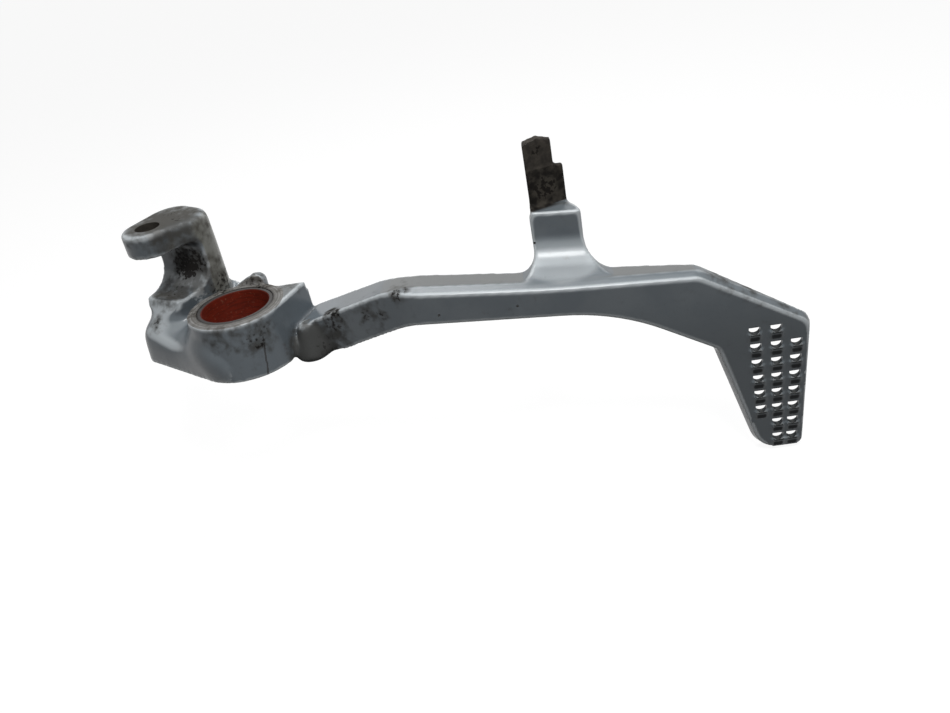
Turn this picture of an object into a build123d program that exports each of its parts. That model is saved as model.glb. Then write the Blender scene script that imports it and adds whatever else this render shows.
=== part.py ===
from build123d import *
from math import acos, asin, atan2, cos, degrees, radians, sin, tan
import os

# Rear brake pedal: one cast lever and the plain bush that is pressed into its bore, in millimetres.
# Z runs along the pivot, X along the arm to the tread, and the tread's face looks along -Y.
# Heights are measured from the machined face of the boss until the pieces are lifted at the end.

# Pivot bush and boss
bore_diameter = 22.0
bush_wall = 1.5
bush_length = 18.8
bush_setback = 0.1
bush_edge = 0.4
bush_lead = 0.2
boss_height = 19.0
face_diameter = 31.6
boss_draft = 5.0
seam_angle = -59.0
seam_width = 55.0
seam_draft = 6.0
face_edge = 0.5

# Flat land beside the machined face, where the arm starts
land_corner = (21.6, 10.7)
land_draft = 2.0
lobe_centre = (21.3, -1.9)
lobe_radius = 6.8
lobe_top_radius = 2.5
lobe_top = -9.0
lobe_foot = -22.1
lobe_edge = 2.5

# Arm and tread plate: the outline of their front face, seen from the front
front_offset = 16.0
root_x = 12.0
root_top_slope = 0.36
root_foot = (25.5, -21.0)
bend_top = (53.6, 2.0)
bend_foot = (53.9, -8.4)
arm_sag = (100.0, -3.9)
neck_foot = (119.0, -14.7)
kink = (144.4, -7.4)
heel = (149.2, -32.8)
toe_top = (176.9, -27.5)
tread_bottom = -73.2
toe_foot_x = 174.9
tread_foot_x = 162.0
bend_top_radius = 33.0
bend_foot_radius = 25.0
root_radius = 5.0
arm_radius = 400.0
neck_radius = 70.0
kink_radius = 5.0
heel_radius = 3.0
toe_radius = 4.5
toe_foot_radius = 2.2
tread_foot_radius = 7.5

# The casting's parting line and the draft on both sides of it
parting_depth = 3.5
front_draft = 20.0
rear_draft = 5.0

# Front and back of the arm, seen along the pivot
root_front = (32.0, -6.0)
bend_front_x = 58.5
root_back = (24.0, 13.0)
bend_back = (56.0, -1.7)
arm_back = (127.0, -4.2)
tread_back = (145.0, -7.0)
toe_back = (180.0, -12.9)
plan_bend_radius = 20.0

# Tread: rows of holes, each with a tooth under it
hole_width = 3.5
hole_height = 2.25
hole_corner = 1.7
row_pitch = 5.83
first_row_drop = 0.57
column_inset = (16.73, 10.13, 3.74)
column_lean = (0.062, 0.012, -0.035)
column_start_row = (0, 0, 1)
column_hole_count = (6, 8, 7)
tooth_height = 0.9
tooth_length = 3.0
tread_web = 1.4
tread_rim = 0.8
pocket_start = 6.0
pocket_corner = 2.5
tooth_root = 1.0

# Stop post on the back of the arm
post_left = 97.1
post_width = 15.7
post_front = -0.8
post_back = 8.7
post_top = 14.4
post_shoulder = 0.9
post_sweep = 9.0
post_left_foot = 6.0
post_right_foot = 11.0
post_back_foot = -9.0
post_back_rise = 5.0
post_cut_front = 0.8
post_cut_width = 4.1
foot_reach = 1.2
foot_depth = 6.0
arm_slope = 0.10

# Bare stepped tip of the stop post
tip_inset = 0.8
tip_width = 11.5
tip_front = 3.2
tip_skew = 0.3
tip_foot = 10.0
tip_step = 26.6
tip_top = 36.0
tip_upper_width = 8.7
tip_upper_setback = 0.4
tip_arch = 1.2

# Push-rod lug on its bracket, in the lug's own frame: x along the bracket's wall, y to its back
eye_x = -25.0
eye_y = 14.6
bracket_angle = -28.0
eye_diameter = 8.0
nose_radius = 8.7
lug_top = 25.3
lug_thickness = 7.8
lug_edge = 1.2
wall_y = 7.6
bracket_depth = 11.2
bracket_right = 13.0
bracket_corner = 8.0
gap_floor = 1.0
gap_floor_radius = 9.0
gap_roof_radius = 2.0
shelf_front = -4.0
riser_slope = 0.57
riser_foot = -9.0

# Block under the bracket
block_wall_angle = -127.3
block_wall_length = 37.0
block_top = -7.0
block_tilt = 13.5
block_rise = 14.0
block_corner = 6.5
block_edge = 5.5
valley_radius = 3.5

# Small spring lug behind the boss
spring_lug_x = 4.0
spring_lug_reach = 0.7
spring_lug_width = 6.0
spring_lug_depth = 4.0
spring_lug_top = 2.7
spring_lug_radius = 2.8
spring_lug_foot = -10.0
spring_shoulder_width = 5.0
spring_shoulder_top = 1.7
spring_shoulder_drop = 2.6

face_radius = face_diameter / 2
foot_radius = face_radius + boss_height * tan(radians(boss_draft))
bush_radius = bore_diameter / 2 + bush_wall
toe_foot = (toe_foot_x, tread_bottom)
tread_foot = (tread_foot_x, tread_bottom)
post_right = post_left + post_width
tip_left = post_left + tip_inset
far = 400.0


def polar(radius, angle):
    return (radius * cos(radians(angle)), radius * sin(radians(angle)))


def rounded(points, radii):
    # A closed outline whose corners are rounded one by one, sharp where the radius is 0
    shape = make_face(Polyline(*points, close=True))
    for point, radius in zip(points, radii):
        if radius > 0:
            corner = shape.vertices().sort_by_distance(Vector(*point))[0]
            shape = fillet(corner, radius)
    return shape


def arm_and_tread():
    root_top = (root_x, bend_top[1] - root_top_slope * (bend_top[0] - root_x))
    bevel = parting_depth * tan(radians(front_draft))
    root_bottom = (root_x, bevel - boss_height)
    outline = rounded(
        [root_top, bend_top, arm_sag, kink, toe_top, toe_foot, tread_foot, heel, neck_foot, bend_foot,
         root_foot, root_bottom],
        [0, bend_top_radius, arm_radius, kink_radius, toe_radius, toe_foot_radius, tread_foot_radius,
         heel_radius, neck_radius, bend_foot_radius, root_radius, 0])
    parting = offset(outline, amount=bevel)
    front_half = extrude(parting, amount=parting_depth, taper=front_draft)
    rear_half = mirror(extrude(parting, amount=2 * front_offset, taper=rear_draft), about=Plane.XY)
    casting = Pos(0, parting_depth - front_offset, 0) * Rot(90, 0, 0) * (front_half + rear_half)

    bend_front = (bend_front_x, -front_offset)
    slope = (bend_front[1] - root_front[1]) / (bend_front[0] - root_front[0])
    start_front = (root_x, root_front[1] + slope * (root_x - root_front[0]))
    plan = rounded(
        [start_front, bend_front, (toe_back[0], -front_offset), toe_back, tread_back, arm_back, bend_back,
         root_back, (root_x, root_back[1])],
        [0, plan_bend_radius, 0, 0, 0, 0, plan_bend_radius, 0, 0])
    prism = extrude(Pos(0, 0, -far / 2) * plan, amount=far)
    return casting & prism


def hole_places():
    places = []
    for inset, lean, start, count in zip(column_inset, column_lean, column_start_row, column_hole_count):
        for row in range(round(start), round(start + count)):
            drop = row * row_pitch
            places.append((toe_top[0] - inset + lean * drop, toe_top[1] - first_row_drop - drop))
    return places


def tread_teeth():
    # A wedge under each hole: its crest is at the hole's lower edge
    crest = Polyline((-front_offset, 0), (-front_offset - tooth_height, 0), (-front_offset, -tooth_length),
                     (tooth_root - front_offset, -tooth_length), (tooth_root - front_offset, 0), close=True)
    wedge = extrude(Plane.YZ * make_face(crest), amount=hole_width / 2, both=True)
    return [Pos(x, 0, z - hole_height / 2) * wedge for x, z in hole_places()]


def tread_holes():
    top = hole_height / 2
    half = hole_width / 2
    slot = rounded([(-half, top), (half, top), (half, -top), (-half, -top)], [0, 0, hole_corner, hole_corner])
    pin = extrude(Plane.XZ * slot, amount=2 * front_offset)
    return [Pos(x, 0, z) * pin for x, z in hole_places()]


def tread_pocket():
    # The back of the tread is hollowed to a thin web inside a rim
    top_slope = (toe_top[1] - kink[1]) / (toe_top[0] - kink[0])
    start = (heel[0] + pocket_start, kink[1] + top_slope * (heel[0] + pocket_start - kink[0]))
    tread = make_face(Polyline(start, toe_top, toe_foot, tread_foot, heel, close=True))
    outline = offset(tread, amount=-tread_rim)
    outline = fillet(outline.vertices(), pocket_corner)
    return extrude(Plane.XZ.offset(front_offset - tread_web) * outline, amount=-front_offset)


def stop_post():
    # Seen from the side: the arm's top sweeps up into the post's front, and its back runs down to the arm
    middle = (post_left + post_right) / 2
    start_y = post_front - post_sweep * (1 - sin(radians(front_draft)))
    arm_front_z = arm_sag[1] - arm_slope * (middle - arm_sag[0])
    start_z = arm_front_z + (start_y + front_offset) * tan(radians(front_draft))
    shelf = Line((-front_offset, arm_front_z), (start_y, start_z))
    sweep = JernArc(shelf @ 1, shelf % 1, post_sweep, 90 - front_draft)
    rest = Polyline(sweep @ 1, (post_front, post_top), (tip_front, post_top + post_shoulder),
                    (post_back, post_top + post_shoulder), (post_back, post_back_rise),
                    (bend_back[1], post_back_foot), (-front_offset, post_back_foot), shelf @ 0)
    side = Plane.YZ.offset(middle) * make_face(shelf + sweep + rest)
    bar = extrude(side, amount=2 * front_offset, dir=(1, 0, -arm_slope), both=True)

    # Seen along the pivot: the post narrows behind its right edge
    plan = make_face(Polyline((post_left, -front_offset), (post_right, -front_offset),
                              (post_right, post_cut_front), (post_right - post_cut_width, post_back),
                              (tip_left, post_back), close=True))
    column = extrude(Pos(0, 0, -far / 2) * plan, amount=far)

    # Seen from the front: a sweeping foot on each side, which follows the arm's top to its back
    back_slope = (arm_back[1] - bend_back[1]) / (arm_back[0] - bend_back[0])
    arm_back_y = bend_back[1] + back_slope * (middle - bend_back[0])
    parting_z = arm_sag[1] + parting_depth * tan(radians(front_draft))
    left_z = parting_z - arm_slope * (post_left - arm_sag[0])
    right_z = parting_z - arm_slope * (post_right - arm_sag[0])
    left_end = post_left - foot_reach * post_left_foot
    right_end = post_right + foot_reach * post_right_foot
    outline = rounded(
        [(left_end, post_back_foot), (left_end, left_z + arm_slope * (post_left - left_end)),
         (post_left, left_z), (post_left, post_top), (post_right, post_top), (post_right, right_z),
         (right_end, right_z - arm_slope * (right_end - post_right)), (right_end, post_back_foot)],
        [0, 0, post_left_foot, 0, 0, post_right_foot, 0, 0])
    parting_y = parting_depth - front_offset
    feet = extrude(Plane.XZ.offset(-parting_y) * outline, amount=post_back - parting_y,
                   dir=(0, 1, -tan(radians(rear_draft))))
    arm_top = parting_z - (arm_back_y - parting_y) * tan(radians(rear_draft))
    lean = make_face(Polyline(
        (-front_offset, post_back_foot), (arm_back_y, post_back_foot), (arm_back_y, arm_top),
        (post_front + foot_depth, post_top), (-front_offset, post_top), close=True))
    feet &= Plane.YZ * extrude(lean, amount=far)
    return bar & (column + feet)


def stop_tip():
    # Two stacked blocks with a slanting front, the upper one with an arched top
    blocks = []
    for width, front in ((tip_width, tip_front), (tip_upper_width, tip_front + tip_upper_setback)):
        right = tip_left + width
        plan = make_face(Polyline((tip_left, front), (right, front + tip_skew * width), (right, post_back),
                                  (tip_left, post_back), close=True))
        blocks.append(extrude(Pos(0, 0, tip_foot) * plan, amount=tip_top - tip_foot))
    lower, upper = blocks
    lower &= Pos(tip_left, 0, 0) * Box(far, far, 2 * tip_step)
    arch = Polyline((0, 0), (0, tip_top - tip_arch), (tip_upper_width / 2, tip_top),
                    (tip_upper_width, tip_top - tip_arch), (tip_upper_width, 0), close=True)
    upper &= Pos(tip_left, 0, 0) * extrude(Plane.XZ * make_face(arch), amount=far, both=True)
    return lower + upper


def boss_profile(draft):
    # Half of a drafted cone's section, from the machined face down
    foot = face_radius + boss_height * tan(radians(draft))
    profile = Polyline((0, 0), (face_radius - face_edge, 0), (face_radius, -face_edge), (foot, -boss_height),
                       (0, -boss_height), close=True)
    return Plane.XZ * make_face(profile)


def land():
    # The flat beside the machined face: its front runs from the corner to touch the face's circle
    corner = Vector(*land_corner)
    touch = degrees(atan2(corner.Y, corner.X)) - degrees(acos(face_radius / corner.length))
    back_angle = degrees(asin(corner.Y / face_radius))
    outline = make_face(Polyline((0, 0), polar(face_radius, touch), corner, polar(face_radius, back_angle),
                                 close=True))
    return extrude(outline, amount=-boss_height, taper=-land_draft)


def root_lobe():
    # The rounded pad under the start of the arm, wider at its foot
    upright = (Align.CENTER, Align.CENTER, Align.MIN)
    pad = Cone(lobe_radius, lobe_top_radius, lobe_top - lobe_foot, align=upright)
    pad = fillet(pad.edges().sort_by(Axis.Z)[0], lobe_edge)
    return Pos(*lobe_centre, lobe_foot) * pad


def bracket():
    # The lug, its wall and its floor, with the push rod's gap cut through from the front
    wall_back = wall_y + bracket_depth
    foot = riser_foot - gap_floor_radius
    plan = rounded(
        [(-nose_radius, 0), (-nose_radius, wall_back), (bracket_right, wall_back),
         (bracket_right, wall_y), (nose_radius, 0)],
        [0, bracket_corner, bracket_corner, 0, 0]) + Circle(nose_radius)
    body = extrude(Pos(0, 0, foot) * plan, amount=lug_top - foot)
    body = fillet(body.faces().sort_by(Axis.Z)[-1].edges(), lug_edge)
    riser_y = shelf_front + (riser_foot - gap_floor) * riser_slope
    gap = rounded(
        [(wall_y, gap_floor), (wall_y, lug_top - lug_thickness), (-far, lug_top - lug_thickness),
         (-far, riser_foot), (riser_y, riser_foot), (shelf_front, gap_floor)],
        [gap_floor_radius, gap_roof_radius, 0, 0, 0, 0])
    body -= extrude(Plane.YZ * gap, amount=far, both=True)
    return Pos(eye_x, eye_y, 0) * Rot(0, 0, bracket_angle) * body


def block():
    # The block that joins the bracket to the boss: its wall touches the boss's foot, its top slopes
    start = Vector(*polar(foot_radius, block_wall_angle))
    along = Vector(*polar(1, block_wall_angle - 90))
    inward = Vector(*polar(1, block_wall_angle + 180))
    corner = start + along * block_wall_length
    frame = Pos(eye_x, eye_y, 0) * Rot(0, 0, bracket_angle)
    back = [frame * Pos(x, wall_y + y, 0) for x, y in (
        (-nose_radius, 0), (bracket_corner - nose_radius, bracket_depth), (bracket_right, bracket_depth))]
    points = [(0, 0), (start.X, start.Y), (corner.X, corner.Y)]
    points += [(b.position.X, b.position.Y) for b in back]
    outline = rounded(points, [0, 0, block_corner, 0, 0, 0])
    body = extrude(Pos(0, 0, -boss_height) * outline, amount=boss_height)
    to_boss = Vector(0, 0, -tan(radians(block_tilt))) - along
    to_back = Vector(0, 0, tan(radians(block_rise))) + inward
    top = Plane(origin=(corner.X, corner.Y, block_top), x_dir=to_back, z_dir=to_boss.cross(to_back))
    body -= top * Box(far, far, far, align=(Align.CENTER, Align.CENTER, Align.MIN))
    roof = body.faces().sort_by(lambda f: abs(top.to_local_coords(f.center()).Z))[0]
    ridge = roof.edges().filter_by(lambda e: (e.center() - corner).dot(inward) < block_corner)
    return fillet(ridge, block_edge)


def base():
    # Boss and block, with a hollow between the block's top and the boss
    body = revolve(boss_profile(boss_draft), axis=Axis.Z) + block()
    valley = body.edges().filter_by(GeomType.ELLIPSE).sort_by(SortBy.LENGTH)[-1]
    return fillet(valley, valley_radius)


def spring_lug():
    # A round-topped ear with a low shoulder on its left
    half = spring_lug_width / 2
    outline = rounded([(-half, spring_lug_foot), (-half, spring_lug_top), (half, spring_lug_top),
                       (half, spring_lug_foot)], [0, spring_lug_radius, spring_lug_radius, 0])
    shoulder_end = -half - spring_shoulder_width
    outline += make_face(Polyline(
        (0, spring_lug_foot), (0, spring_shoulder_top), (-half, spring_shoulder_top),
        (shoulder_end, spring_shoulder_top - spring_shoulder_drop), (shoulder_end, spring_lug_foot),
        close=True))
    body = extrude(Plane.XZ * outline, amount=spring_lug_depth / 2, both=True)
    return Pos(spring_lug_x, face_radius + spring_lug_reach, 0) * body


def bush():
    # A plain ring with eased ends: outside for the press fit, and inside where the shaft enters
    inner, half = bore_diameter / 2, bush_length / 2
    profile = Polyline(
        (inner, bush_lead - half), (inner + bush_lead, -half), (bush_radius - bush_edge, -half),
        (bush_radius, bush_edge - half), (bush_radius, half - bush_edge), (bush_radius - bush_edge, half),
        (inner + bush_lead, half), (inner, half - bush_lead), close=True)
    tube = revolve(Plane.XZ * make_face(profile), axis=Axis.Z)
    return Pos(0, 0, -bush_setback - half) * tube


def lever():
    body = arm_and_tread() - tread_pocket()
    body = body + tread_teeth()
    body = body - tread_holes()
    body = body + [stop_post(), stop_tip(), base(), land(), root_lobe(), bracket(), spring_lug()]
    seam = revolve(boss_profile(seam_draft), axis=Axis.Z, revolution_arc=seam_width)
    body = body + Rot(0, 0, seam_angle) * seam
    body -= Cylinder(bush_radius, far)
    body -= Pos(eye_x, eye_y, lug_top) * Cylinder(eye_diameter / 2, 2 * (lug_thickness + gap_roof_radius))
    return body


os.makedirs("parts", exist_ok=True)
lift = Pos(0, 0, boss_height / 2)
export_step(lift * lever(), "parts/pedal_lever.step")
export_step(lift * bush(), "parts/pivot_bush.step")
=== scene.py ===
# %% [markdown]
# # A rear brake pedal
# The pedal is one aluminium casting with silver-grey paint and a plain bush pressed into its boss. Its solids
# come from the imported CAD model, at real size and in metres, so no piece has to be placed by eye. This lesson
# turns the sharp CAD casting into a soft cast one, then gives every surface its finish: paint with painted
# highlights and painted shade, dirt, worn edges painted lighter as a highlight, a machined ring, a bare tip and
# the bush's red-brown lining.

# %% Load the imported model
import math

import bpy
from mathutils import Matrix, Vector


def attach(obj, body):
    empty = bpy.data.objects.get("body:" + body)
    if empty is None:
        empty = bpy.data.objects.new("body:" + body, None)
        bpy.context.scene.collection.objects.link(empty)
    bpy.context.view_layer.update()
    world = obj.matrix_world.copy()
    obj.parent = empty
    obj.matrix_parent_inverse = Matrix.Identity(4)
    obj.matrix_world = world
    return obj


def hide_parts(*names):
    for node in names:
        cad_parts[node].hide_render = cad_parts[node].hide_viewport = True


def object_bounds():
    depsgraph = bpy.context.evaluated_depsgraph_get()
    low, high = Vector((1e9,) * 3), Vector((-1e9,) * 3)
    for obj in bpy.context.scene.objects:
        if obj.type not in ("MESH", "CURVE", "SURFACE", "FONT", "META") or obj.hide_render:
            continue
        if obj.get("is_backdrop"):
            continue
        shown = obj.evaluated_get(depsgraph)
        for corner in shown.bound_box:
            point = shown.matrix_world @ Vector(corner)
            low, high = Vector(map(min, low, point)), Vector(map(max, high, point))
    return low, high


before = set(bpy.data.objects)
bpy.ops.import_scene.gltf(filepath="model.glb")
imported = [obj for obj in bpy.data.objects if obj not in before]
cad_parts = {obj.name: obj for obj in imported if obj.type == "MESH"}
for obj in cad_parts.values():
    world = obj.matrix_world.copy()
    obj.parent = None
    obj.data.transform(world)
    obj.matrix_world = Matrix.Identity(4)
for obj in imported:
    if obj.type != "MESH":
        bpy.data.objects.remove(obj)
cad_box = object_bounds()
mm = 0.001
scene = bpy.context.scene
print("CAD box in mm:", [[round(v / mm, 1) for v in corner] for corner in cad_box])

# %% [markdown]
# ## The camera
# A camera can be found from the photograph by matching a few corners of the object to their pixels. That was
# done once for this pedal: it stands above and in front of the arm, and leans a little to one side. The three
# rows below are the directions to the right of the picture, to its top and back towards the viewer.

# %% Set the camera
photo_width = 950
focal_pixels = 900
to_right = Vector((0.98601, -0.003085, -0.166658))
to_top = Vector((0.145417, 0.504633, 0.850999))
to_viewer = Vector((0.081476, -0.863328, 0.498022))
camera_place = Vector((97.03, -257.71, 126.36)) * mm
camera = bpy.data.objects.new("camera", bpy.data.cameras.new("camera"))
scene.collection.objects.link(camera)
camera.data.sensor_width = 36
camera.data.lens = camera.data.sensor_width * focal_pixels / photo_width
camera.data.clip_start = 0.01
turn = Matrix((to_right, to_top, to_viewer)).transposed().to_4x4()
camera.matrix_world = Matrix.Translation(camera_place) @ turn
scene.camera = camera
print("lens in mm:", round(camera.data.lens, 2))

# %% [markdown]
# ## The casting
# On the real lever no cast edge is sharp: the mould rounds it and the paint rounds it again. Bevelling every
# edge by hand would be slow, because many edges end in curves. Instead a copy of the CAD mesh is merged,
# remeshed in small even cells and smoothed, which is how a sculptor softens a hard shape. The machined face,
# the bores, the bare tip and the tread's front are smoothed less, because they are crisper on the real part.

# %% Copy the lever and merge its loose triangles
def pick(piece):
    # Makes one piece the only selected and active one
    bpy.ops.object.select_all(action="DESELECT")
    piece.select_set(True)
    bpy.context.view_layer.objects.active = piece


casting = bpy.data.objects.new("casting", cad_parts["pedal_lever"].data.copy())
scene.collection.objects.link(casting)
pick(casting)
bpy.ops.object.mode_set(mode="EDIT")
bpy.ops.mesh.select_all(action="SELECT")
bpy.ops.mesh.remove_doubles(threshold=0.001 * mm)
bpy.ops.object.mode_set(mode="OBJECT")
print("merged vertices:", len(casting.data.vertices))

# %% Places of the tread's holes
row_pitch = 5.83
first_row = (176.9, -18.57)
columns = [
    # distance from the tread's edge, slant, first row, number of holes
    (16.73, 0.062, 0, 6), (10.13, 0.012, 0, 8), (3.74, -0.035, 1, 7),
]
holes = []
for inset, slant, start, count in columns:
    for row in range(start, start + count):
        drop = row * row_pitch
        holes.append((first_row[0] - inset + slant * drop, first_row[1] - drop))
print("holes in the tread:", len(holes))

# %% Sizes of the bore, the eye and the tread's web, and two helpers
bore_radius = 12.5
face_height = 9.5
eye = (-25.0, 14.6, 30.9)
eye_radius = 4.0
lug_thickness = 7.8
front_y = -16.0
web = 1.4


def gather(name):
    # Joins all selected pieces into one, with its place in its mesh
    bpy.ops.object.join()
    bpy.ops.object.transform_apply(location=True, rotation=True, scale=True)
    bpy.context.object.name = name
    return bpy.context.object


def cylinders(margin, bore_depth, eye_depth):
    # The bore's and the eye's cylinders, left selected
    bpy.ops.object.select_all(action="DESELECT")
    made = []
    for place, size, depth in (((0, 0, 0), bore_radius, bore_depth), (eye, eye_radius, eye_depth)):
        bpy.ops.mesh.primitive_cylinder_add(vertices=128, radius=(size + margin) * mm, depth=depth * mm,
                                            location=Vector(place) * mm)
        made.append(bpy.context.object)
    for piece in made:
        piece.select_set(True)
    return made


print("bore and eye in mm:", 2 * bore_radius, 2 * eye_radius)

# %% Plug the bore, the eye and the holes, so that the softening leaves their faces flat
plug_margin = 0.6
hole_plug = (4.1, web, 2.9)
plugs = cylinders(plug_margin, 2 * face_height, lug_thickness)
for x, z in holes:
    bpy.ops.mesh.primitive_cube_add(size=1, location=Vector((x, front_y + web / 2, z)) * mm)
    bpy.context.object.scale = Vector(hole_plug) * mm
    plugs.append(bpy.context.object)
for piece in plugs:
    piece.select_set(True)
casting.select_set(True)
bpy.context.view_layer.objects.active = casting
casting = gather("casting")
print("plugs joined:", len(plugs))

# %% Remesh it in even cells
cell = 0.54 * mm


def work(piece, kind, **settings):
    # Adds a modifier with its settings and applies it
    modifier = piece.modifiers.new(kind, kind)
    for name, value in settings.items():
        setattr(modifier, name, value)
    pick(piece)
    bpy.ops.object.modifier_apply(modifier=modifier.name)


work(casting, "REMESH", mode="VOXEL", voxel_size=cell)
print("cells:", len(casting.data.polygons))

# %% [markdown]
# ## The soft shoulder
# Between the bracket and the boss the real casting has no edges at all: the block's sloping top sweeps round
# the boss and runs out on its foot. A sculptor would add clay in the hollow and stroke it smooth. Here vertex
# groups say where clay is added and how much each vertex is stroked, from 0 to 1, and modifiers do the work.

# %% Where the casting is crisp, and the spots where it is soft
ring_radius = 15.8
face_skin = 0.3
tread_start = 154
tread_back = -12.5
tip_start = 90
tip_foot = 24.5
shoulder_top, shoulder_fade = 8, 4
foot_height, foot_fade, crest_fade = -9.2, 2, 2.5
shoulder_spots = [
    # place in mm, reach in mm
    ((-34, 9, 0), 12), ((-26, 3, -1), 15), ((-19, -4, -2), 14), ((-13, -10, -4), 11), ((-8, -14, -5), 7),
]
ridge_spots = [
    ((-17, -6, -2.5), 7), ((-15, -9, -3.5), 7), ((-13, -11.7, -4.2), 6.5), ((-10.5, -14, -4), 6),
    ((-8, -15.6, -4.5), 5), ((-6, -16.5, -5.5), 4.5),
]
round_spots = [((-11, 19, 34), 13), ((24, -6, -8), 9)]
print("soft spots:", len(shoulder_spots) + len(ridge_spots) + len(round_spots))

# %% Weigh every vertex, from 0 to 1
def clamp(value):
    # Keeps a value between 0 and 1
    return max(0.0, min(1.0, value))


def within(place, spots):
    # 1 close to one of the spots, fading to 0 at its reach
    return max(clamp(2 - 2 * (place - Vector(spot)).length / reach) for spot, reach in spots)


def cast(place):
    # 1 on a cast surface, 0 on the machined face, the tread's front and the bare tip
    in_face = place.xy.length < ring_radius and abs(place.z) > face_height - face_skin
    in_tread = place.x > tread_start and place.y < tread_back
    in_tip = place.x > tip_start and place.z > tip_foot
    return 0.0 if in_face or in_tread or in_tip else 1.0


def melted(place):
    # 1 on the shoulder that sweeps round the boss, fading to the boss's face and to the foot
    below_face = clamp((shoulder_top - place.z) / shoulder_fade)
    above_foot = clamp((place.z - foot_height) / foot_fade)
    return within(place, shoulder_spots) * below_face * above_foot


def ridged(place):
    # 1 in the hollow beside the boss, whose filling runs out over the boss's foot as a crest
    return within(place, ridge_spots) * clamp((place.z - foot_height) / crest_fade)


def rounded(place):
    # 1 at the bracket's top corner and at the pad under the arm's start
    return within(place, round_spots)


for weight in (cast, melted, ridged, rounded):
    group = casting.vertex_groups.new(name=weight.__name__)
    for v in casting.data.vertices:
        group.add([v.index], weight(v.co / mm), "REPLACE")
print("vertex groups:", [group.name for group in casting.vertex_groups])

# %% Fill the hollow, then stroke the cast edges and the shoulder smooth
shoulder_lift = 1.8 * mm
hollow_fill = 2.0 * mm
work(casting, "DISPLACE", strength=shoulder_lift, mid_level=0, direction="Z", vertex_group="melted")
work(casting, "DISPLACE", strength=hollow_fill, mid_level=0, vertex_group="ridged")
for passes, group in ((2, ""), (5, "cast"), (110, "rounded"), (110, "ridged"), (260, "melted")):
    work(casting, "SMOOTH", factor=0.5, iterations=passes, vertex_group=group)
print("softened vertices:", len(casting.data.vertices))

# %% [markdown]
# ## Teeth and holes of the tread
# Each hole in the tread is a half-moon with its flat side up, and a small tooth stands out under it to grip
# the sole. One tooth and one hole are shaped from a cube in edit mode: the tooth's lower front edge is moved
# back to make a wedge, and the hole's lower edges are bevelled until they are round. Both are copied to every
# place, and then added to the casting or cut from it, together with the bore and the eye.

# %% Sizes of a tooth and a hole, and two helpers
hole_width = 3.5
hole_height = 2.25
hole_corner = 1.7
hole_depth = 9
tooth_height = 0.9
tooth_length = 3.0
tooth_depth = 2
slack = 0.1


def select_edges(piece, wanted):
    # In edit mode, selects only the edges whose middle is wanted
    bpy.ops.mesh.select_all(action="DESELECT")
    bpy.ops.mesh.select_mode(type="EDGE")
    bpy.ops.object.mode_set(mode="OBJECT")
    for edge in piece.data.edges:
        middle = sum((piece.data.vertices[i].co for i in edge.vertices), Vector()) / 2
        edge.select = wanted(middle / mm)
    bpy.ops.object.mode_set(mode="EDIT")


def shaped_cube(name, size, middle):
    # A block of the given size, left in edit mode
    bpy.ops.object.select_all(action="DESELECT")
    bpy.ops.mesh.primitive_cube_add(size=1, location=Vector(middle) * mm)
    piece = bpy.context.object
    piece.name = name
    piece.scale = Vector(size) * mm
    bpy.ops.object.transform_apply(location=True, rotation=True, scale=True)
    bpy.ops.object.mode_set(mode="EDIT")
    return piece


print("hole in mm:", hole_width, "by", hole_height, "and tooth:", tooth_length, "by", tooth_height)

# %% Shape one tooth
tooth_foot = -hole_height / 2 - tooth_length
tooth = shaped_cube("tooth", (hole_width, tooth_depth, tooth_length),
                    (0, front_y - tooth_height + tooth_depth / 2, -hole_height / 2 - tooth_length / 2))
select_edges(tooth, lambda p: p.y < front_y - tooth_height + slack and p.z < tooth_foot + slack)
bpy.ops.transform.translate(value=(0, tooth_height * mm, 0))
bpy.ops.mesh.select_all(action="SELECT")
bpy.ops.mesh.subdivide(number_cuts=4)
bpy.ops.object.mode_set(mode="OBJECT")
print("tooth faces:", len(tooth.data.polygons))

# %% Shape one hole
hole = shaped_cube("hole", (hole_width, hole_depth, hole_height), (0, front_y + web / 2, 0))
select_edges(hole, lambda p: abs(p.y - front_y - web / 2) < slack and p.z < 0)
bpy.ops.mesh.bevel(offset=hole_corner * mm, segments=8)
bpy.ops.object.mode_set(mode="OBJECT")
print("hole faces:", len(hole.data.polygons))

# %% Copy them to every place, then add the teeth and cut the holes
bore_cut, eye_cut = 30, 20


def copies(model):
    # Copies one model to every hole, joins the copies and removes the model
    bpy.ops.object.select_all(action="DESELECT")
    for x, z in holes:
        copy = bpy.data.objects.new(model.name, model.data.copy())
        scene.collection.objects.link(copy)
        copy.location = Vector((x, 0, z)) * mm
        copy.select_set(True)
    bpy.context.view_layer.objects.active = copy
    made = gather(model.name + "s")
    bpy.data.objects.remove(model)
    return made


teeth = copies(tooth)
work(casting, "BOOLEAN", operation="UNION", object=teeth, solver="EXACT")
cutters = copies(hole)
cylinders(0, bore_cut, eye_cut)
cutters.select_set(True)
bpy.context.view_layer.objects.active = cutters
cutters = gather("cutters")
work(casting, "BOOLEAN", operation="DIFFERENCE", object=cutters, solver="EXACT")
for piece in (teeth, cutters):
    bpy.data.objects.remove(piece)
pick(casting)
bpy.ops.object.shade_smooth_by_angle(angle=math.radians(40))
casting.data.materials.clear()
print("casting triangles:", sum(len(p.vertices) - 2 for p in casting.data.polygons))

# %% Let it stand for the CAD lever
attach(casting, "root")
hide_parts("pedal_lever")
print("casting replaces pedal_lever")
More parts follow.
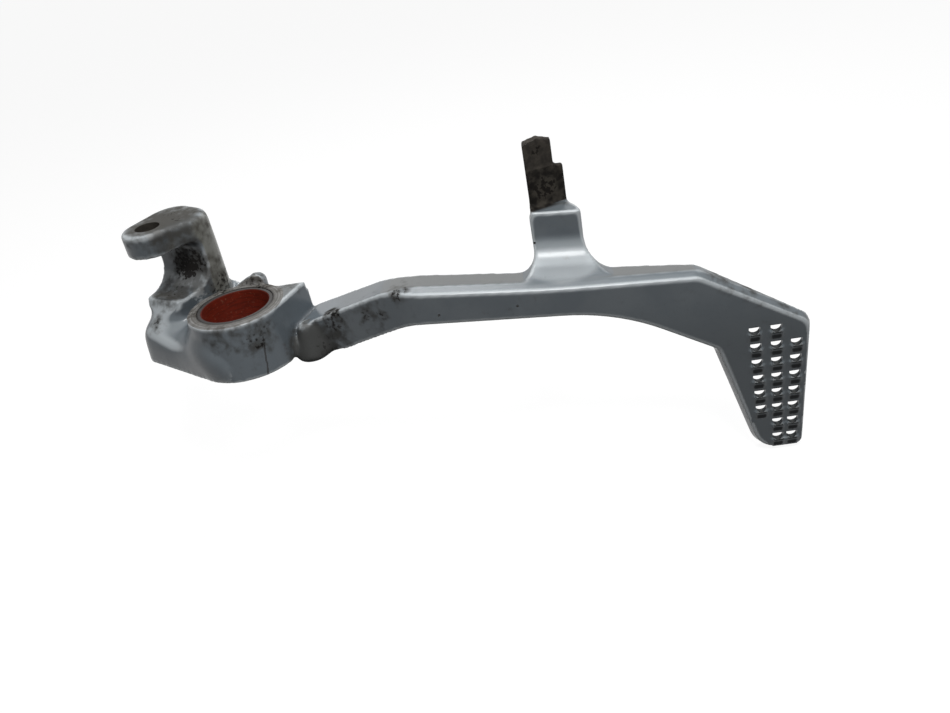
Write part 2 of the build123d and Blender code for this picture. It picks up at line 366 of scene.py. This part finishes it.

# %% [markdown]
# ## Where dirt, painted shade and painted highlights sit
# The pedal is a used one. Oil and road dirt stay in the push rod's gap, round the bush's ring, under the
# start of the arm and on the tread's teeth. Under the arm's start and on the teeth the dark is also painted
# shade, and each hole's wall is darkened with painted shade. Dirt could be painted by hand on the mesh. Here
# each patch is a place with a reach, and every vertex keeps the strongest patch that reaches it, in an
# attribute that the paint reads. Dirt has black specks in it, dust is only a thin brown film, and a rubbed
# spot has lost its paint, except two on the stop post's sweep, which are a painted highlight. Two more
# attributes hold the teeth's dirt and painted shade, and how far each vertex stands out: that one is found by
# smoothing a copy of the mesh and measuring how far each vertex moved.

# %% Places of the dirt, the dust, the rubbed spots and the painted highlight on the stop post's sweep
# Under the start of the arm, near (25, -6, -7), the dirt and dust patches are also painted shade
dirt_patches = [
    # place in mm, reach in mm, strength
    ((-19, 20, 18), 8, 0.95), ((-18, 20, 17), 5, 2.2), ((-14, 17.5, 20), 6, 0.85), ((-24, 15, 12), 7, 0.5),
    ((-9, 19, 11), 7, 0.55), ((-20, 24, 35), 5, 0.5), ((-16, 18, 35), 4, 0.55), ((-22, 6, 28), 5, 0.3),
    ((7, -15, 4), 5, 0.5), ((9, -14, 2), 3.5, 0.75), ((11, -12, 6), 6, 0.45), ((27, -6, -7), 9, 0.45),
    ((30, -3, 3.5), 3, 1.2), ((32.5, -6, 4.5), 2.2, 1.2), ((31, -6, 1), 7, 0.55), ((43, -10, 4), 3.2, 0.6),
    ((48, -12, 4), 3.2, 0.55), ((54, -14, 11), 3.4, 0.7), ((57, -13, 12), 3, 0.5), ((7, 12, 9.5), 6, 0.6),
    ((16, 8, 9.5), 6, 0.4), ((2, 17, 10), 9, 0.5), ((-8, 14, 9), 7, 0.65), ((-30, 8, 3), 5, 0.5),
    ((103, 5, 30), 5, 1.1), ((102, 5, 42), 3, 0.7), ((0, -14, 9.5), 7, 0.2), ((-14, -2, 9.5), 8, 0.45),
]
dust_patches = [
    ((-20, 18, 35), 17, 0.9), ((-17, 18, 17), 12, 0.9), ((-24, 15, 11), 10, 0.8), ((23, -6, -7), 11, 1.1),
    ((31, -6, -3), 8, 0.6), ((152, -10, 0), 9, 0.45), ((162, -11, -4), 9, 0.5), ((172, -12, -9), 9, 0.5),
    ((44, -11, 4), 9, 0.35), ((55, -12, 12), 8, 0.3), ((8, -14, 3), 9, 0.5), ((-3, -16, 7), 8, 0.45),
    ((4, -16, 5), 7, 0.45),
]
# The two spots on the stop post's sweep, near (100, -3, 11) and (107, -3, 10.5), are a painted highlight; the
# others are rubbed paint
rubbed_and_highlit_spots = [
    ((-20, 9, 35), 2.6, 0.7), ((-22, 7, 34.5), 2.4, 0.8), ((-15, 12, 9.5), 7, 0.6), ((57, -14, 12), 4, 0.4),
    ((104, 4, 25.5), 3.5, 0.4), ((100, -3, 11), 6, 0.45), ((107, -3, 10.5), 6, 0.45),
]
print("patches of dirt:", len(dirt_patches), "of dust:", len(dust_patches), "rubbed:", len(rubbed_and_highlit_spots))

# %% How far each vertex stands out, from a smoother copy of the casting
hole_side, hole_below, hole_above = 3.2, 5.2, 2.6


def plain(place):
    # 0 round the holes and teeth, where neither the painted edge highlight nor the painted hollow shade is
    # drawn, and 1 elsewhere
    near_hole = [abs(place.x - x) < hole_side and -hole_below < place.z - z < hole_above for x, z in holes]
    return 0.0 if place.y < tread_back and any(near_hole) else 1.0


smoother = bpy.data.objects.new("smoother", casting.data.copy())
scene.collection.objects.link(smoother)
work(smoother, "SMOOTH", factor=0.5, iterations=12)
pairs = zip(casting.data.vertices, smoother.data.vertices)
standing_out = [plain(a.co / mm) * (a.co - b.co).dot(a.normal) / mm for a, b in pairs]
bpy.data.objects.remove(smoother)
print("proudest edge in mm:", round(max(standing_out), 2), "deepest hollow:", round(min(standing_out), 2))

# %% Write the attributes that the paint reads
half_hole = hole_height / 2
tooth_side = hole_width / 2 + 0.15
side_border, band_border = 0.7, 0.8
clean_strip, wall_skin = 0.4, 0.05


def reached(place, spots):
    # The strongest spot at a place in mm, fading to nothing at its reach
    best = 0.0
    for spot, reach, strength in spots:
        near = max(0.0, 1 - (place - Vector(spot)).length / reach)
        best = max(best, strength * near * (2 - near))
    return best


def tooth_dirt_and_shade(place):
    # The dark band under each hole, dirt and painted shade, and painted shade on the hole's wall, with soft
    # borders
    best = 0.0
    for x, z in holes:
        drop = z - place.z
        side = clamp((tooth_side - abs(place.x - x)) / side_border)
        under_hole = clamp((drop - half_hole - clean_strip) / band_border)
        above_foot = clamp((tooth_length + half_hole - drop) / band_border)
        in_wall = float(abs(drop) < half_hole + wall_skin)
        best = max(best, side * max(under_hole * above_foot, in_wall))
    return best


places = [v.co / mm for v in casting.data.vertices]
for name, values in (
    ("soil", [reached(p, dirt_patches) for p in places]),
    ("dust", [reached(p, dust_patches) for p in places]),
    ("rubbed_and_highlit", [reached(p, rubbed_and_highlit_spots) for p in places]),
    ("band", [tooth_dirt_and_shade(p) if p.x > tread_start else 0.0 for p in places]),
    ("proud", standing_out),
):
    attribute = casting.data.attributes.new(name, "FLOAT", "POINT")
    attribute.data.foreach_set("value", values)
    print(name, "reaches", sum(value > 0 for value in values), "vertices")

# %% [markdown]
# ## Helpers for materials
# Colours are written as the hex values that a colour picker shows, and turned to the linear numbers that
# Blender calculates with. One function adds a node, sets it and links it, so that a material reads as a list.
# Another lays colours over each other, each through its own mask, as coats of paint are laid.

# %% Helpers
def colour(code):
    # The linear numbers of an sRGB hex value
    parts = [int(code[i:i + 2], 16) / 255 for i in (1, 3, 5)]
    return tuple(c / 12.92 if c <= 0.04045 else ((c + 0.055) / 1.055) ** 2.4 for c in parts) + (1.0,)


def add(tree, kind, inputs, out=0, **settings):
    # Adds one node and gives one of its outputs; inputs are values or other nodes' outputs
    made = tree.nodes.new("ShaderNode" + kind)
    for name, value in settings.items():
        setattr(made, name, value)
    for name, value in inputs.items():
        if isinstance(value, bpy.types.NodeSocket):
            tree.links.new(value, made.inputs[name])
        else:
            made.inputs[name].default_value = value
    return made.outputs[out] if made.outputs else made


def lay(tree, base, layers, masks):
    # Lays each colour over those before it, where its mask is and by its share
    mixed = colour(base)
    for share, name, code in layers:
        laid = add(tree, "Math", {0: masks[name], 1: share}, operation="MULTIPLY")
        mixed = add(tree, "Mix", {0: laid, 6: mixed, 7: colour(code)}, out=2, data_type="RGBA")
    return mixed


def new_material(name):
    # A material with an empty node tree
    made = bpy.data.materials.new(name)
    made.use_nodes = True
    made.node_tree.nodes.clear()
    return made


def per(size):
    # A texture's scale from the size of its pattern in mm
    return 1 / (size * mm)


print("mid grey #808080 is", round(colour("#808080")[0], 3), "in linear light")

# %% [markdown]
# ## Painted cast aluminium
# Silver-grey paint over a rough casting: a blue-grey colour with a soft grain, a satin lacquer and a painted
# highlight that draw thin bright lines along the rounded edges, where the paint is also worn, brown dirt and
# painted shade in the hollows, bare metal where it is rubbed, with a painted highlight on the stop post's
# sweep, a turned ring round the bore and a bare, blackened tip on the stop post with a painted shadow at its
# step. The eye's bore is darkened with painted shade. The flakes in silver paint make broad, soft highlights,
# which a plain paint shader draws too narrow. So painted highlights make the paint lighter where the surface
# leans one of two fixed ways. Painted light makes it a little paler on the boss, the bracket's side that faces
# +X is a paler warm grey, painted shade makes it darker low on the tread, and upward faces are a little
# darker. Each of these is a mask from 0 to 1, and the colours are laid from the bottom up.

# %% Measure where a point of the paint is, and which way it faces
post_middle = (104.5, 0, 9)
bracket_side = (-8, 18.5, 21)
# Painted highlights: the paint is made lightest where it faces these ways
bright_way = (0.05, -0.66, 0.75)
left_bright_way = (-0.36, -0.66, 0.66)
paint = new_material("painted_cast_aluminium")
tree = paint.node_tree
where = add(tree, "TexCoord", {}, out="Object")
x, y, z = (add(tree, "SeparateXYZ", {0: where}, out=axis) for axis in "XYZ")
flat = add(tree, "CombineXYZ", {"X": x, "Y": y})
radius = add(tree, "VectorMath", {0: flat}, out="Value", operation="LENGTH")
from_eye, from_post, from_side = (
    add(tree, "VectorMath", {0: start, 1: Vector(place) * mm}, out="Value", operation="DISTANCE")
    for start, place in ((flat, (eye[0], eye[1], 0)), (where, post_middle), (where, bracket_side)))
normal = add(tree, "NewGeometry", {}, out="Normal")
aside, up = (add(tree, "SeparateXYZ", {0: normal}, out=axis) for axis in "XZ")
lean, lean_left = (add(tree, "VectorMath", {0: normal, 1: way}, out="Value", operation="DOT_PRODUCT")
                   for way in (bright_way, left_bright_way))
soil, dust, rubbed_and_highlit, band, proud = (add(tree, "Attribute", {}, out="Fac", attribute_name=name)
                                   for name in ("soil", "dust", "rubbed_and_highlit", "band", "proud"))
print("nodes so far:", len(tree.nodes))

# %% Patterns of the paint, by their real size in mm
# Size and detail of each noise
patterns = {"clouds": (14, 3), "blotches": (2.4, 6), "specks": (1.2, 4), "grit": (0.7, 2)}
cloud, blotch, speck, grit = (add(tree, "TexNoise", {"Vector": where, "Scale": per(size), "Detail": detail})
                              for size, detail in patterns.values())
# The blotches, moved to lie on both sides of zero, make every border uneven
uneven = add(tree, "Math", {0: blotch, 1: 1.3, 2: -0.65}, operation="MULTIPLY_ADD")
film = add(tree, "Math", {0: soil, 1: dust}, operation="MAXIMUM")
soiled = add(tree, "Math", {0: film, 1: uneven}, operation="ADD")
flecks = add(tree, "MapRange", {"Value": speck, "From Min": 0.4, "From Max": 0.62, "To Min": 0.3,
                                "To Max": 1.6}, out="Result")
flecked = add(tree, "Math", {0: soil, 1: flecks}, operation="MULTIPLY")
worn_and_highlit = add(tree, "Math", {0: rubbed_and_highlit, 1: uneven}, operation="ADD")
banded = add(tree, "Math", {0: uneven, 1: 0.5, 2: band}, operation="MULTIPLY_ADD")
# The grooves that a lathe leaves are finer; these are drawn coarser, so that they show
groove = 0.9
grooves = add(tree, "TexWave", {"Vector": flat, "Scale": per(groove) * math.pi / 10}, out="Fac",
              wave_type="RINGS", rings_direction="Z")
print("patterns in mm:", {name: size for name, (size, detail) in patterns.items()}, "grooves:", groove)

# %% The seam down the boss's front: a thin, wavy line of dirt in the step between two halves of the mould
seam_top = Vector((9.9, -13.2, 1)) * mm
seam_foot = Vector((8.8, -14.9, -9)) * mm
seam_wave = 0.8 * mm
across = (seam_foot - seam_top).cross(Vector((seam_foot.x, seam_foot.y, 0))).normalized()
from_seam = add(tree, "VectorMath", {0: where, 1: seam_top}, operation="SUBTRACT")
beside = add(tree, "VectorMath", {0: from_seam, 1: across}, out="Value", operation="DOT_PRODUCT")
wavy = add(tree, "Math", {0: uneven, 1: seam_wave, 2: beside}, operation="MULTIPLY_ADD")
beside_seam = add(tree, "Math", {0: wavy}, operation="ABSOLUTE")
print("seam length in mm:", round((seam_foot - seam_top).length / mm, 1))

# %% Masks: 0 at the first value, 1 at the second
ranges = [
    # Dirt, wear, painted highlights on edges, painted shade in hollows and on the teeth, and patterns
    ("dirt", soiled, 0.12, 0.75), ("grime", flecked, 0.45, 0.9), ("bare_and_highlit", worn_and_highlit, 0.45, 0.8),
    ("band", banded, 0.2, 0.8), ("edge", proud, 0.02, 0.1), ("cavity", proud, -0.03, -0.12),
    ("cloud", cloud, 0.3, 0.7), ("blotch", blotch, 0.35, 0.7), ("groove", grooves, 0.2, 0.8),
    # Which way the surface faces: upward faces, the bracket's side and the painted highlights
    ("top", up, 0.955, 0.99), ("aside", aside, 0.5, 0.75), ("sheen", lean, 0.66, 0.9),
    ("graded", lean, 0.68, 0.95), ("painted_highlight", lean, 0.92, 0.99), ("crest", lean_left, 0.93, 0.995),
]
ranges_in_mm = [
    # Along the arm, from front to back and by height
    ("beyond", x, 40, 50), ("hither", x, 50, 40), ("right", x, -12, -4), ("fore", x, 20, 15),
    ("front", y, -9, -11), ("low", z, 0, -25), ("below", z, 2, 0), ("face", z, 9.1, 9.3),
    ("high", z, 24.5, 24.9), ("lug", z, 26.0, 26.5), ("step", z, 35.4, 36.0), ("upper", z, 36.2, 36.5),
    # By distance from the bore's axis, the eye, the stop post, the bracket's side and the seam
    ("boss", radius, 36, 30), ("near", radius, 15.9, 15.6), ("score", radius, 14.3, 14.0),
    ("seat", radius, 12.9, 12.7), ("eye", from_eye, 4.2, 4.0), ("rim", from_eye, 5.0, 6.0),
    ("post", from_post, 15, 12), ("side", from_side, 18, 12), ("seam", beside_seam, 0.4, 0.15),
]
ranges += [(name, value, first * mm, second * mm) for name, value, first, second in ranges_in_mm]
masks = {}
for name, value, first, second in ranges:
    masks[name] = add(tree, "MapRange", {"Value": value, "From Min": first, "From Max": second}, out="Result",
                      interpolation_type="SMOOTHSTEP")
print("masks:", ", ".join(masks))

# %% Masks where two others meet
products = [
    # new mask, and the two that are multiplied
    # Of these, the mask in the eye's bore is painted shade, the one at the tip's step a painted shadow, and
    # those on the stop post, the crest and the arm beyond the boss are painted highlights
    ("tip", "high", "beyond"), ("cap", "tip", "upper"), ("ledge", "tip", "step"), ("mottle", "tip", "blotch"),
    ("ring", "face", "near"), ("turned", "ring", "groove"), ("inner", "ring", "score"),
    ("stain", "ring", "blotch"), ("painted_eye_shade", "lug", "eye"), ("edge", "edge", "rim"), ("low", "low", "beyond"),
    ("boss", "boss", "right"), ("far_painted_highlight", "painted_highlight", "beyond"), ("crest", "crest", "hither"),
    ("graded", "graded", "post"), ("side", "side", "aside"), ("seam", "seam", "below"),
    ("seam", "seam", "front"), ("seam", "seam", "fore"),
]
for name, first, second in products:
    masks[name] = add(tree, "Math", {0: masks[first], 1: masks[second]}, operation="MULTIPLY")
print("products:", len(products))

# %% Pinholes in the casting
pinholes = [(97.6, -1.2, 15.2), (89.8, -16.0, 2.1), (65.9, -16.0, 3.0)]
pit_edge, pit_core = 0.55 * mm, 0.3 * mm
masks["pit"] = 0.0
for place in pinholes:
    away = add(tree, "VectorMath", {0: where, 1: Vector(place) * mm}, out="Value", operation="DISTANCE")
    pit = add(tree, "MapRange", {"Value": away, "From Min": pit_edge, "From Max": pit_core}, out="Result")
    masks["pit"] = add(tree, "Math", {0: masks["pit"], 1: pit}, operation="MAXIMUM")
print("pinholes:", len(pinholes))

# %% Colours, from the bottom layer up
layers = [
    # Share, mask and colour of the paint: its areas, with painted light on the boss, a paler warm grey on the
    # bracket's side, painted shade low on the tread and darker upward faces, then its painted highlights, then
    # its edges, worn and painted lighter as a highlight, and painted shade in its hollows
    (1.0, "cloud", "#646b70"), (0.9, "low", "#474e53"), (0.55, "boss", "#727b82"), (0.75, "side", "#8b8a80"),
    (0.9, "top", "#686a69"), (0.7, "sheen", "#7b848a"), (0.3, "painted_highlight", "#dbe2e6"),
    (0.4, "graded", "#dbe2e6"), (0.9, "far_painted_highlight", "#dbe2e6"), (0.75, "crest", "#dbe2e6"),
    (0.6, "edge", "#dfe5e8"), (0.4, "cavity", "#45464a"),
    # Bare metal: rubbed spots, with painted highlights on the stop post's sweep, the turned ring and the bush's
    # seat, painted shade in the eye, and the stop post's black tip, with a painted shadow at its step
    (0.9, "bare_and_highlit", "#d2d6d8"), (1.0, "ring", "#979694"), (0.4, "turned", "#62615f"), (0.5, "stain", "#66645f"),
    (0.35, "inner", "#55524d"), (0.7, "seat", "#3f3d3a"), (0.95, "painted_eye_shade", "#141312"), (1.0, "tip", "#1b1917"),
    (0.8, "ledge", "#0f0e0d"), (1.0, "cap", "#33302d"), (0.6, "mottle", "#57524b"),
    # Dirt: a brown film, black specks, the seam, the teeth with dirt and painted shade, and the pinholes
    (0.75, "dirt", "#4a4640"), (0.92, "grime", "#171412"), (0.85, "seam", "#1c1917"),
    (0.6, "band", "#2b2825"), (1.0, "pit", "#080808"),
]
paint_colour = lay(tree, "#596167", layers, masks)
print("layers of colour:", len(layers))

# %% Surface and lacquer: satin paint, while dirt, the ring and the bare tip are matt and have no lacquer
dull = 0.0
for name in ("dirt", "band", "ring", "tip"):
    dull = add(tree, "Math", {0: dull, 1: masks[name]}, operation="MAXIMUM")
height = add(tree, "Math", {0: grit, 1: 0.5, 2: masks["turned"]}, operation="MULTIPLY_ADD")
bump = add(tree, "Bump", {"Height": height, "Strength": 0.6, "Distance": 0.08 * mm})
rough = add(tree, "MapRange", {"Value": dull, "To Min": 0.5, "To Max": 0.85}, out="Result")
lacquer = add(tree, "MapRange", {"Value": dull, "To Min": 0.7, "To Max": 0.05}, out="Result")
skin = add(tree, "BsdfPrincipled", {
    "Base Color": paint_colour, "Roughness": rough, "Normal": bump,
    "Specular IOR Level": 0.06, "Coat Weight": lacquer, "Coat Roughness": 0.25})
add(tree, "OutputMaterial", {"Surface": skin})
casting.data.materials.append(paint)
print("paint nodes:", len(tree.nodes))

# %% [markdown]
# ## Lined steel bush
# A plain bush is a rolled steel ring with a thin bearing layer inside. The layer is a red-brown bronze filled
# with plastic, matt and slightly streaked round the bore; the steel's ends are dull grey with oil on them.
# The CAD bush has the right shape, so it stays, and one material tells lining from steel by the radius.

# %% Patterns and masks of the bush
streak_size, speck_size = 3, 0.8
steel_start = (11.2 * mm, 11.3 * mm)
eased_edge = (11.02 * mm, 11.06 * mm)
lining = new_material("lined_steel_bush")
tree = lining.node_tree
where = add(tree, "TexCoord", {}, out="Object")
x, y = (add(tree, "SeparateXYZ", {0: where}, out=axis) for axis in "XY")
flat = add(tree, "CombineXYZ", {"X": x, "Y": y})
radius = add(tree, "VectorMath", {0: flat}, out="Value", operation="LENGTH")
# Squeezed along the bore, so that the streaks run round it
stretched = add(tree, "Mapping", {"Vector": where, "Scale": (1, 1, 5)}, out="Vector")
streak = add(tree, "TexNoise", {"Vector": stretched, "Scale": per(streak_size), "Detail": 4})
speck = add(tree, "TexNoise", {"Vector": where, "Scale": per(speck_size), "Detail": 2})
masks = {}
for name, value, first, second in (("steel", radius, *steel_start), ("lead", radius, *eased_edge),
                                   ("streak", streak, 0.35, 0.7), ("speck", speck, 0.6, 0.75)):
    masks[name] = add(tree, "MapRange", {"Value": value, "From Min": first, "From Max": second}, out="Result",
                      interpolation_type="SMOOTHSTEP")
print("bush masks:", ", ".join(masks))

# %% Colours and surface of the bush
layers = [(0.8, "streak", "#55180b"), (0.4, "speck", "#9a6c58"), (1.0, "lead", "#43140a"),
          (1.0, "steel", "#4a4847")]
bush_colour = lay(tree, "#762310", layers, masks)
bump = add(tree, "Bump", {"Height": speck, "Strength": 0.4, "Distance": 0.03 * mm})
metal = add(tree, "Math", {0: masks["steel"], 1: 0.6}, operation="MULTIPLY")
skin = add(tree, "BsdfPrincipled", {"Base Color": bush_colour, "Metallic": metal, "Roughness": 0.6,
                                    "Normal": bump, "Specular IOR Level": 0.25})
add(tree, "OutputMaterial", {"Surface": skin})
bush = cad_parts["pivot_bush"]
bush.data.materials.clear()
bush.data.materials.append(lining)
print("bush nodes:", len(tree.nodes))

# %% [markdown]
# ## Floor, light and background
# The photograph shows the pedal on plain white. A pale floor lies under the lowest point and keeps a faint
# shadow. Soft light comes from above and behind, so that upper faces are pale and the front stays slate dark.
# A small lamp near the viewer draws the bright lines on the edges and in the sweep of the stop post, and a
# faint one lifts the left. Floor and world look white to the eye and in reflections, but they light the pedal
# only a little.

# %% Floor
floor_size = 12
floor_gap = 0.2 * mm


def seen_rays(tree):
    # 1 for rays from the camera and for mirrored or refracted ones, 0 for rays that light the object
    seen = 0.0
    for kind in ("Camera", "Glossy", "Transmission"):
        ray = add(tree, "LightPath", {}, out="Is %s Ray" % kind)
        seen = add(tree, "Math", {0: seen, 1: ray}, operation="MAXIMUM")
    return seen


bpy.ops.object.select_all(action="DESELECT")
bpy.ops.mesh.primitive_plane_add(size=floor_size, location=(0, 0, cad_box[0].z - floor_gap))
floor = bpy.context.object
floor.name = "floor"
floor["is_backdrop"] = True
white = new_material("white_floor")
tree = white.node_tree
matt = add(tree, "BsdfDiffuse", {"Color": colour("#404040")})
shade = add(tree, "BsdfDiffuse", {"Color": colour("#707070")})
glow = add(tree, "Emission", {"Color": (1, 1, 1, 1), "Strength": 0.93})
pale = add(tree, "AddShader", {0: shade, 1: glow})
shown = add(tree, "MixShader", {0: seen_rays(tree), 1: matt, 2: pale})
add(tree, "OutputMaterial", {"Surface": shown})
floor.data.materials.append(white)
print("floor at", round(floor.location.z / mm, 1), "mm")

# %% Lamps
target = Vector((70, 0, 0)) * mm
lamps = [
    # name, place in mm, size in mm, power in watts
    ("overhead", (60, 260, 480), 240, 1.3),
    ("left", (-420, -120, 260), 200, 0.03),
    ("viewer", (165, -263, 434), 140, 1.6),
]
for name, place, size, power in lamps:
    lamp = bpy.data.objects.new(name, bpy.data.lights.new(name, "AREA"))
    scene.collection.objects.link(lamp)
    lamp.data.size = size * mm
    lamp.data.energy = power
    lamp.location = Vector(place) * mm
    lamp.rotation_mode = "QUATERNION"
    lamp.rotation_quaternion = (target - lamp.location).to_track_quat("-Z", "Y")
print("lamps:", ", ".join(name for name, place, size, power in lamps))

# %% World
world_light = 0.05
world = bpy.data.worlds.new("white_room")
scene.world = world
world.use_nodes = True
tree = world.node_tree
tree.nodes.clear()
level = add(tree, "MapRange", {"Value": seen_rays(tree), "To Min": world_light, "To Max": 1.0}, out="Result")
sky = add(tree, "Background", {"Color": (1, 1, 1, 1), "Strength": level})
add(tree, "OutputWorld", {"Surface": sky})
scene.view_settings.view_transform = "Standard"
print("world light", world_light, "and seen as white")

# %% [markdown]
# ## Last checks
# The dressed pedal has to stay as large as the CAD one. The last line prints how far the dressed box differs
# from the CAD box.

# %% Write the sizes and finish
dressed_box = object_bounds()
cad_size, dressed_size = (high - low for low, high in (cad_box, dressed_box))
print("dressed less CAD size in mm:", [round(v / mm, 2) for v in dressed_size - cad_size])
